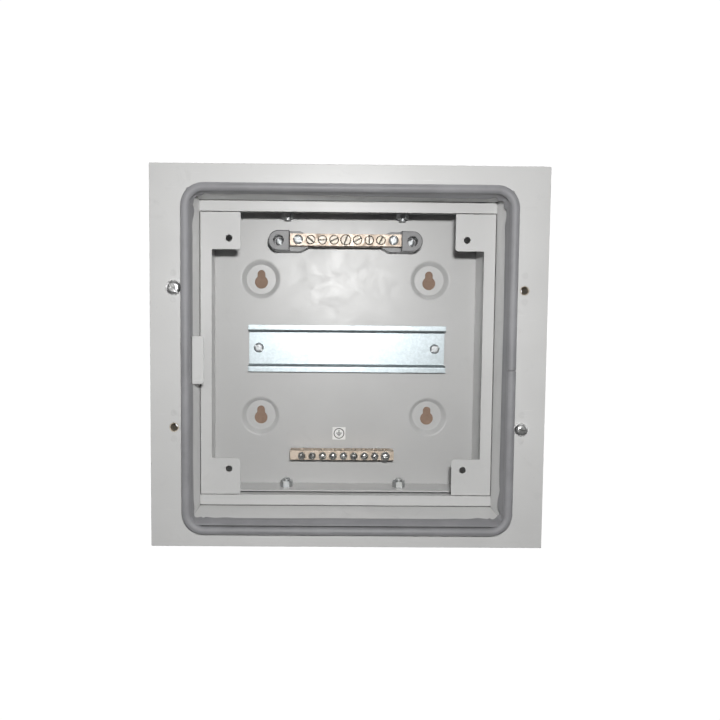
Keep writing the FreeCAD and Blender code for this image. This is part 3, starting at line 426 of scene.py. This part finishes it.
def ring_faces(first, second, count):
    """Faces between two closed rings of vertices, each with count points."""
    faces = []
    for step in range(count):
        after = (step + 1) % count
        faces.append((first + step, first + after, second + after, second + step))
    return faces


def loft(sections):
    """Vertices and faces of a closed tube through equal-sized closed sections."""
    ring = len(sections[0])
    vertices = [point for section in sections for point in section]
    faces = []
    for index in range(len(sections)):
        after = (index + 1) % len(sections)
        faces += ring_faces(index * ring, after * ring, ring)
    return vertices, faces


def circle(radius, count):
    """Points of a circle about the origin, in one plane."""
    points = []
    for step in range(count):
        angle = 2.0 * math.pi * step / count
        points.append((radius * math.cos(angle), radius * math.sin(angle)))
    return points


# ----------------------------------------------------------------- rubber seal

SEAL_LOW, SEAL_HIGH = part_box("frame_gasket")
SHELL_LOW, SHELL_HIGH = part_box("body_shell")
KEEPER_LOW, KEEPER_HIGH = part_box("latch_keeper")
# The latch keeper's front is set back from the flange face by this much.
KEEPER_SET_BACK = 1.0 * MM
FLANGE_FACE = KEEPER_LOW.y - KEEPER_SET_BACK
SEAL_CORNER = 14.3 * MM
SIDE_STEPS = 60
CORNER_STEPS = 20
# The bulb: a little slimmer along the bottom, and just clear of the flange.
BULB_HEIGHT = FLANGE_FACE - SEAL_LOW.y
BULB_RADIUS = 2.85 * MM
BOTTOM_BULB_LESS = 0.2 * MM
BULB_STEPS = 20
BULB_LIFT = 0.02 * MM
# The leg: how far it goes into the neck, and what is left of it at the latch keeper.
LEG_DEPTH = 5.8 * MM
LEG_STUB = 0.4 * MM
LEG_THICKNESS = 0.5 * MM
NECK_GAP = 0.04 * MM
KEEPER_MARGIN = 0.2 * MM
# The butt joint on the right side, where the bulb is pinched over a hair's width.
JOINT_UP = -5.5 * MM
JOINT_HAIR = 0.25 * MM
JOINT_PINCH = 0.78


def ramp(value, low, high):
    """0 below low, 1 above high, with soft ends."""
    share = min(1.0, max(0.0, (value - low) / (high - low)))
    return share * share * (3.0 - 2.0 * share)


def wander(east, up, size, seed):
    """Smooth noise around 0 with blobs about size metres across."""
    return noise.noise(Vector((east / size, seed, up / size)))


def seal_path():
    """Points of the seal's outer edge with their outward directions, anticlockwise.

    The sides have extra points where the seal is notched for the keeper or joined.
    """
    low_z = SEAL_LOW.z + SEAL_CORNER
    tall = SEAL_HIGH.z - SEAL_CORNER - low_z
    low_x = SEAL_LOW.x + SEAL_CORNER
    wide = SEAL_HIGH.x - SEAL_CORNER - low_x
    plain = [step / SIDE_STEPS for step in range(SIDE_STEPS + 1)]
    at_joint = [(JOINT_UP - low_z + JOINT_HAIR * hairs) / tall
                for hairs in (-4, -1.2, -0.8, 0.0, 0.8, 1.2, 4)]
    at_notch = []
    for edge in (KEEPER_LOW.z, KEEPER_HIGH.z):
        at_notch += [1.0 - (edge - low_z + JOINT_HAIR * hairs) / tall for hairs in (-3, -1, 1, 3)]
    sides = [
        (sorted(plain + at_joint), (SEAL_HIGH.x, low_z), (0, tall), (1, 0)),
        (plain, (low_x + wide, SEAL_HIGH.z), (-wide, 0), (0, 1)),
        (sorted(plain + at_notch), (SEAL_LOW.x, low_z + tall), (0, -tall), (-1, 0)),
        (plain, (low_x, SEAL_LOW.z), (wide, 0), (0, -1)),
    ]
    path = []
    for number, (stops, start, run, outward) in enumerate(sides):
        for stop in stops:
            point = (start[0] + run[0] * stop, start[1] + run[1] * stop)
            path.append((point, outward))
        end = (start[0] + run[0], start[1] + run[1])
        middle = (end[0] - outward[0] * SEAL_CORNER, end[1] - outward[1] * SEAL_CORNER)
        for step in range(1, CORNER_STEPS):
            angle = math.radians(90.0 * (number + step / CORNER_STEPS))
            turned = (math.cos(angle), math.sin(angle))
            point = (middle[0] + SEAL_CORNER * turned[0], middle[1] + SEAL_CORNER * turned[1])
            path.append((point, turned))
    return path


def reach_to_neck(point, outward):
    """Distance inwards from the seal's outer edge to the inner face of the neck."""
    reach = 0.0
    for here, way, low, high in ((point[0], outward[0], SHELL_LOW.x, SHELL_HIGH.x),
                                 (point[1], outward[1], SHELL_LOW.z, SHELL_HIGH.z)):
        if abs(way) > 1e-6:
            wall = high if way > 0 else low
            reach = max(reach, (here - wall) / way)
    return reach


def corner_nearness(point):
    """1 in a corner of the opening, falling to 0 about 40 mm along each side."""
    gap_x = min(abs(point[0] - SHELL_LOW.x), abs(point[0] - SHELL_HIGH.x))
    gap_z = min(abs(point[1] - SHELL_LOW.z), abs(point[1] - SHELL_HIGH.z))
    return math.exp(-(max(gap_x, gap_z) / (20 * MM)) ** 2)


def sides_of(outward):
    """Shares of right, left, top and bottom in a direction; they add up to 1."""
    east, up = outward
    return max(0, east) ** 2, max(0, -east) ** 2, max(0, up) ** 2, max(0, -up) ** 2


def leg_curl(point, outward):
    """How far the leg's free edge stands off the neck wall, in metres.

    It is lifted most at the right end of the top side, and wavy in the corners.
    """
    right, left, top, bottom = sides_of(outward)
    lifted = 0.1 + 1.5 * ramp(point[0], -60.0 * MM, 80.0 * MM)
    resting = 0.6 * right + 0.1 * left + 0.1 * bottom + lifted * top
    wave = 0.35 + 1.9 * wander(point[0], point[1], 8 * MM, 3.1)
    ripple = 0.25 * wander(point[0], point[1], 30 * MM, 5.5)
    curl = resting + 1.5 * corner_nearness(point) * wave + ripple
    return max(0.0, min(2.4, curl)) * MM


def at_keeper(point):
    """Where the seal's leg is cut away for the latch keeper."""
    low = KEEPER_LOW.z - KEEPER_MARGIN
    high = KEEPER_HIGH.z + KEEPER_MARGIN
    return point[0] < 0 and low < point[1] < high


def bulb_profile(point, outward):
    """The round bulb, as (distance inwards from the outer edge, height over the flange)."""
    sag = 0.12 * MM * wander(point[0], point[1], 50 * MM, 1.3)
    joint = point[0] > 0 and abs(point[1] - JOINT_UP) < JOINT_HAIR
    pinch = JOINT_PINCH if joint else 1.0
    bottom = sides_of(outward)[3]
    radius = BULB_RADIUS - BOTTOM_BULB_LESS * bottom
    half_height = (BULB_HEIGHT - 2 * BULB_LIFT + min(0.0, sag)) / 2
    profile = []
    for step in range(BULB_STEPS):
        angle = 2.0 * math.pi * step / BULB_STEPS
        inwards = radius * (1.0 - pinch * math.cos(angle)) + sag * max(0.0, math.sin(angle))
        height = half_height * (1.0 + pinch * math.sin(angle))
        profile.append((max(0.01 * MM, inwards), height + BULB_LIFT))
    return profile


def leg_profile(point, outward):
    """The ridge beside the bulb and the thin leg that hangs from it inside the neck.

    Same measures as bulb_profile; negative heights are behind the flange face.
    """
    reach = reach_to_neck(point, outward)
    bridge = max(0.0, 5.2 * MM - reach)
    curl = leg_curl(point, outward) + 0.9 * bridge
    slack = 0.3 * wander(point[0], point[1], 14 * MM, 7.7) * (0.25 + corner_nearness(point))
    _, left, _, bottom = sides_of(outward)
    depth = (LEG_DEPTH - (0.8 * left + 3.2 * bottom) * MM) * (1.0 - abs(slack))
    if at_keeper(point):
        depth = LEG_STUB
        curl = 0.0
    face = reach + LEG_THICKNESS
    back = reach + NECK_GAP
    ridge = reach - 1.8 * MM
    inner_face = [
        (face + curl, -depth),
        (face - 0.05 * MM + curl * 0.6, -depth * 0.66),
        (face - 0.1 * MM + curl * 0.25, -depth * 0.33),
        (face - 0.2 * MM, 0.1 * MM),
    ]
    ridge_beside_bulb = [
        (face - 0.75 * MM, 1.5 * MM),
        (ridge + 0.7 * MM, 3.2 * MM),
        (ridge, 4.5 * MM),
        (ridge - 0.3 * MM, 4.7 * MM),
        (ridge - 0.5 * MM, 4.4 * MM),
        (ridge - 0.55 * MM, 1.8 * MM),
        (ridge - 1.3 * MM, 1.2 * MM),
        (ridge - 1.3 * MM, 0.05 * MM),
        (reach - 0.3 * MM, 0.05 * MM),
    ]
    wall_face = [
        (back, -0.1 * MM),
        (back + curl * 0.25, -depth * 0.33),
        (back + curl * 0.6, -depth * 0.66),
        (back + 0.1 * MM + curl, -depth),
    ]
    return inner_face + ridge_beside_bulb + wall_face


def swept(path, profile_at):
    """Closed sections of a profile carried round the path."""
    sections = []
    for point, outward in path:
        section = []
        for inwards, height in profile_at(point, outward):
            section.append((point[0] - outward[0] * inwards, FLANGE_FACE - height,
                            point[1] - outward[1] * inwards))
        sections.append(section)
    return sections


def running_lengths(points):
    """Distance travelled at each point of a closed line, and at its first point again."""
    total = [0.0]
    for before, after in zip(points, points[1:] + points[:1]):
        total.append(total[-1] + (Vector(after) - Vector(before)).length)
    return total


def along_and_around(sections, first_around):
    """Texture places of a loft's faces: metres along the path, then around the profile."""
    along = running_lengths([section[0] for section in sections])
    around = running_lengths(list(sections[0]))
    places = []
    for index in range(len(sections)):
        for step in range(len(sections[0])):
            for stop, turn in ((index, step), (index, step + 1),
                               (index + 1, step + 1), (index + 1, step)):
                places.append((along[stop], first_around + around[turn]))
    return places


def make_seal():
    """The rubber seal: bulb and leg are one extrusion, joined on the right side."""
    path = seal_path()
    vertices = []
    faces = []
    places = []
    for profile_at in (bulb_profile, leg_profile):
        sections = swept(path, profile_at)
        start = len(vertices)
        tube_vertices, tube_faces = loft(sections)
        vertices += tube_vertices
        faces += [tuple(start + index for index in face) for face in tube_faces]
        places += along_and_around(sections, start)
    seal = add_piece("rubber_seal", vertices, faces, seal_rubber("seal_rubber", RUBBER))
    layer = seal.data.uv_layers.new(name="along_seal")
    for loop, place in zip(layer.data, places):
        loop.uv = place
    subdivide = seal.modifiers.new("smooth", "SUBSURF")
    subdivide.levels = 1
    subdivide.render_levels = 1
    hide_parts("frame_gasket")
    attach(seal, ROOT_BODY)


# -------------------------------------------------------------- small details

NUT_PLATE_HALF_WIDTH = 6.0 * MM
NUT_PLATE_HALF_HEIGHT = 13.0 * MM
WELD_ABOVE = 9.3 * MM
WELD_BELOW = -7.2 * MM
# Rings of one weld mark, inside out: radius and height over the flange in millimetres.
WELD_RINGS = [(0.7, 0.01), (1.2, 0.06), (1.6, 0.06), (2.1, 0.004)]
WELD_STEPS = 28
THREAD_BORE = 2.55 * MM
THREAD_PITCH = 0.8 * MM
THREAD_STEPS = 24
THREAD_START = 0.3 * MM
RIDGE_SINK = 0.02 * MM
RIDGE_HEIGHT = 0.45 * MM
# The earth symbol, in millimetres; a bar is half its length and its height.
SYMBOL_STEPS = 48
SYMBOL_OUTER = 4.05
SYMBOL_INNER = 3.45
SYMBOL_HALF_STROKE = 0.28
SYMBOL_STEM_TOP = 2.6
SYMBOL_BARS = [(2.1, 0.2), (1.35, -0.8), (0.6, -1.8)]


def frame_hole_places():
    """Centres of the four round holes of the front flange."""
    low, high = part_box("frame_nut_plates")
    for east in (low.x + NUT_PLATE_HALF_WIDTH, high.x - NUT_PLATE_HALF_WIDTH):
        for up in (low.z + NUT_PLATE_HALF_HEIGHT, high.z - NUT_PLATE_HALF_HEIGHT):
            yield east, up


def add_weld_marks():
    """Faint low rings where the nut plates are spot-welded behind the flange."""
    material = coated_steel("weld_mark_coating", shade(COATING, 0.95), 0.9, False)
    vertices = []
    faces = []
    for east, middle in frame_hole_places():
        for rise in (WELD_ABOVE, WELD_BELOW):
            start = len(vertices)
            for radius, height in WELD_RINGS:
                for step in range(WELD_STEPS):
                    angle = 2.0 * math.pi * step / WELD_STEPS
                    wobble = 1.0 + 0.08 * math.sin(3 * angle + east * 900 + rise * 700)
                    vertices.append((east + radius * MM * wobble * math.cos(angle),
                                     FLANGE_FACE - height * MM,
                                     middle + rise + radius * MM * wobble * math.sin(angle)))
            faces.append(tuple(start + step for step in range(WELD_STEPS)))
            for ring in range(len(WELD_RINGS) - 1):
                inner = start + ring * WELD_STEPS
                faces += ring_faces(inner + WELD_STEPS, inner, WELD_STEPS)
    marks = add_piece("flange_weld_marks", vertices, faces, material)
    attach(marks, ROOT_BODY)


def thread_ridge(east, up, front, turns):
    """Points of one helical ridge, three for each step: foot, crest and foot."""
    points = []
    last = turns * THREAD_STEPS
    for number in range(last + 1):
        angle = 2.0 * math.pi * number / THREAD_STEPS
        deep = front + THREAD_START + THREAD_PITCH * number / THREAD_STEPS
        fade = ramp(min(number, last - number), 0, THREAD_STEPS / 2)
        foot = THREAD_BORE - RIDGE_SINK
        crest = foot - RIDGE_HEIGHT * fade
        for radius, shift in ((foot, 0.0), (crest, 0.3 * MM), (foot, 0.68 * MM)):
            points.append((east + radius * math.cos(angle), deep + shift,
                           up + radius * math.sin(angle)))
    return points


def add_nut_threads():
    """Helical thread ridges inside the two nuts whose screws are missing."""
    material = plated_metal("thread_zinc", shade(YELLOW_ZINC, 0.62), 0.6, 0.8, yellow=0.3)
    vertices = []
    faces = []
    plates_low, plates_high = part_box("frame_nut_plates")
    turns = int((plates_high.y - plates_low.y - THREAD_PITCH) / THREAD_PITCH)
    for east, up in frame_hole_places():
        if (east > 0) != (up > 0):
            continue
        start = len(vertices)
        vertices += thread_ridge(east, up, plates_low.y, turns)
        for number in range(turns * THREAD_STEPS):
            here = start + number * 3
            faces.append((here, here + 3, here + 4, here + 1))
            faces.append((here + 1, here + 4, here + 5, here + 2))
    threads = add_piece("nut_threads", vertices, faces, material)
    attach(threads, ROOT_BODY)


def symbol_outlines():
    """Outlines of the earth symbol in millimetres about the label's middle."""
    outer = circle(SYMBOL_OUTER, SYMBOL_STEPS)
    inner = circle(SYMBOL_INNER, SYMBOL_STEPS)
    for step in range(SYMBOL_STEPS):
        after = (step + 1) % SYMBOL_STEPS
        yield [outer[step], outer[after], inner[after], inner[step]]
    half = SYMBOL_HALF_STROKE
    foot = SYMBOL_BARS[0][1]
    yield [(-half, SYMBOL_STEM_TOP), (-half, foot), (half, foot), (half, SYMBOL_STEM_TOP)]
    for half_width, up in SYMBOL_BARS:
        yield [(-half_width, up - half), (half_width, up - half),
               (half_width, up + half), (-half_width, up + half)]


def add_symbol_on_label():
    """A plain circled earth symbol: a stem and three shortening bars in a ring."""
    low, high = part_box("earth_label")
    middle = (low + high) / 2
    vertices = []
    faces = []
    for corners in symbol_outlines():
        start = len(vertices)
        count = len(corners)
        for depth in (low.y - 0.04 * MM, low.y + 0.02 * MM):
            for east, up in corners:
                vertices.append((middle.x + east * MM, depth, middle.z + up * MM))
        faces.append(tuple(start + step for step in range(count)))
        faces.append(tuple(start + count + step for step in reversed(range(count))))
        faces += ring_faces(start + count, start, count)
    symbol = add_piece("label_symbol", vertices, faces, printed_ink("label_ink"), smooth=False)
    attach(symbol, ROOT_BODY)


# --------------------------------------------------------------------- stage

# The camera: angles in degrees.
EYE = Vector((-14.7, -498.3, 32.4)) * MM
TILT_DOWN = 3.25
TURN_RIGHT = 0.469
ROLL = 0.5
LENS_MM = 32.42
SENSOR_MM = 36.0
SHIFT_X = 0.0406
SHIFT_Y = -0.0205
NEAREST = 0.01
FARTHEST = 50.0

# The lamps, all aimed at one point.
LIT_POINT = Vector((0.0, -0.05, 0.0))
KEY_RISE = 46.0 * MM
KEY_SHIFT = 15.0 * MM
KEY_WIDTH = 26.0 * MM
KEY_HEIGHT = 12.0 * MM
KEY_POWER = 1.95
KEY_COLOUR = (1.0, 0.998, 0.99)
ROOM_LIGHT = 0.06
# Square soft lamps: name, place, side in metres, power in watts.
SOFT_LAMPS = [
    ("soft_front", (0.3, -2.0, 1.0), 1.6, 0.8),
    ("soft_left", (-1.7, 0.1, 0.5), 1.3, 12.0),
    ("soft_right", (1.8, 0.1, 0.6), 1.3, 9.0),
    ("soft_back_left", (-1.2, 1.6, 0.8), 1.5, 24.0),
    ("soft_back_right", (1.4, 1.4, 0.5), 1.5, 20.0),
    ("soft_top", (0.1, 0.4, 1.9), 1.6, 20.0),
    ("soft_below", (0.0, 0.5, -1.7), 1.6, 14.0),
]

# The stage. Its glow is just over white, so that it renders as clean white.
FLOOR_MIDDLE_Y = -0.06
FLOOR_RADIUS = 0.42
FLOOR_STEPS = 72
SURROUND_RADIUS = 7.0
STAGE_WHITE = (1.02, 1.02, 1.02)
STAGE_WHITER = (1.06, 1.06, 1.06)
SHADED_KRAFT_DARK = (0.20, 0.135, 0.10)
# A kraft-brown card that glows dimly, seen through the keyholes: brown, darkened as painted shade.
SHADED_KRAFT_LIGHT = (0.30, 0.215, 0.165)
CARD_SIDES = (-0.85, 1.22)
CARD_BOTTOM_AND_TOP = (-1.3, 0.5)
CARD_Y = 6.4


def make_camera():
    """The one camera, at the photograph's viewing angle."""
    camera = bpy.data.cameras.new("camera")
    camera.lens = LENS_MM
    camera.sensor_width = SENSOR_MM
    camera.shift_x = SHIFT_X
    camera.shift_y = SHIFT_Y
    camera.clip_start = NEAREST
    camera.clip_end = FARTHEST
    thing = add_to_scene("camera", camera)
    aim = Matrix.Rotation(math.radians(-TURN_RIGHT), 4, "Z")
    aim = aim @ Matrix.Rotation(math.radians(90.0 - TILT_DOWN), 4, "X")
    aim = aim @ Matrix.Rotation(math.radians(ROLL), 4, "Z")
    thing.matrix_world = Matrix.Translation(EYE) @ aim
    bpy.context.scene.camera = thing


def area_light(name, place, width, height, power, colour=(1.0, 1.0, 1.0)):
    """A soft lamp that looks at the middle of the box."""
    light = bpy.data.lights.new(name, "AREA")
    light.shape = "RECTANGLE"
    light.size = width
    light.size_y = height
    light.energy = power
    light.color = colour
    thing = add_to_scene(name, light)
    thing.location = place
    thing.rotation_euler = (LIT_POINT - place).to_track_quat("-Z", "Y").to_euler()


def make_lights():
    """A small bright lamp over the camera, like a flash, and weak soft lamps all round."""
    key = EYE + Vector((KEY_SHIFT, 0.0, KEY_RISE))
    area_light("key_over_camera", key, KEY_WIDTH, KEY_HEIGHT, KEY_POWER, KEY_COLOUR)
    for name, place, side, power in SOFT_LAMPS:
        area_light(name, Vector(place), side, side, power)
    world = bpy.data.worlds.new("soft_room")
    world.use_nodes = True
    background = world.node_tree.nodes["Background"]
    background.inputs["Color"].default_value = (1.0, 1.0, 1.0, 1.0)
    background.inputs["Strength"].default_value = ROOM_LIGHT
    bpy.context.scene.world = world


def glow(name, low, high, grain_size):
    """A stage surface with its own light, so that its tone doesn't hang on the lamps."""
    g = Graph(name)
    grain = g.noise(grain_size, 4.0, 0.6)
    colour = g.blend(grain, low, high)
    g.set(base_color=(0.0, 0.0, 0.0, 1.0), roughness=0.9, emission_color=colour)
    g.set(emission_strength=1.0, specular_ior_level=0.0)
    return g.material


def unlit(thing):
    """Seen by the camera only, so the stage neither lights nor shades the object."""
    thing.visible_diffuse = False
    thing.visible_glossy = False
    thing.visible_transmission = False
    thing.visible_shadow = False


def make_stage():
    """A pale round floor, a plain white surround and a dim kraft-brown card far behind the box,
    whose dimness is painted shade.
    """
    bottom = CAD_BOX[0][2]
    floor_white = glow("pale_floor", STAGE_WHITE, STAGE_WHITER, 0.2)
    rim = [(x, FLOOR_MIDDLE_Y + y, bottom) for x, y in circle(FLOOR_RADIUS, FLOOR_STEPS)]
    unlit(add_piece("floor", rim, [tuple(range(FLOOR_STEPS))], floor_white, smooth=False))
    shape = bmesh.new()
    bmesh.ops.create_uvsphere(shape, u_segments=48, v_segments=24, radius=SURROUND_RADIUS)
    mesh = bpy.data.meshes.new("surround")
    shape.to_mesh(mesh)
    shape.free()
    mesh.materials.append(glow("white_surround", STAGE_WHITE, STAGE_WHITER, 1.0))
    unlit(add_to_scene("surround", mesh))
    shaded_kraft = glow("shaded_kraft_card", SHADED_KRAFT_DARK, SHADED_KRAFT_LIGHT, 0.06)
    left, right = CARD_SIDES
    low, high = CARD_BOTTOM_AND_TOP
    corners = [(left, CARD_Y, low), (right, CARD_Y, low),
               (right, CARD_Y, high), (left, CARD_Y, high)]
    unlit(add_piece("backdrop_card", corners, [(0, 1, 2, 3)], shaded_kraft, smooth=False))


def main():
    """Everything the scene adds around the CAD nodes."""
    make_camera()
    finish_cad_nodes()
    make_seal()
    add_weld_marks()
    add_nut_threads()
    add_symbol_on_label()
    make_lights()
    make_stage()
    view = bpy.context.scene.view_settings
    view.view_transform = "Standard"
    view.look = "None"


main()
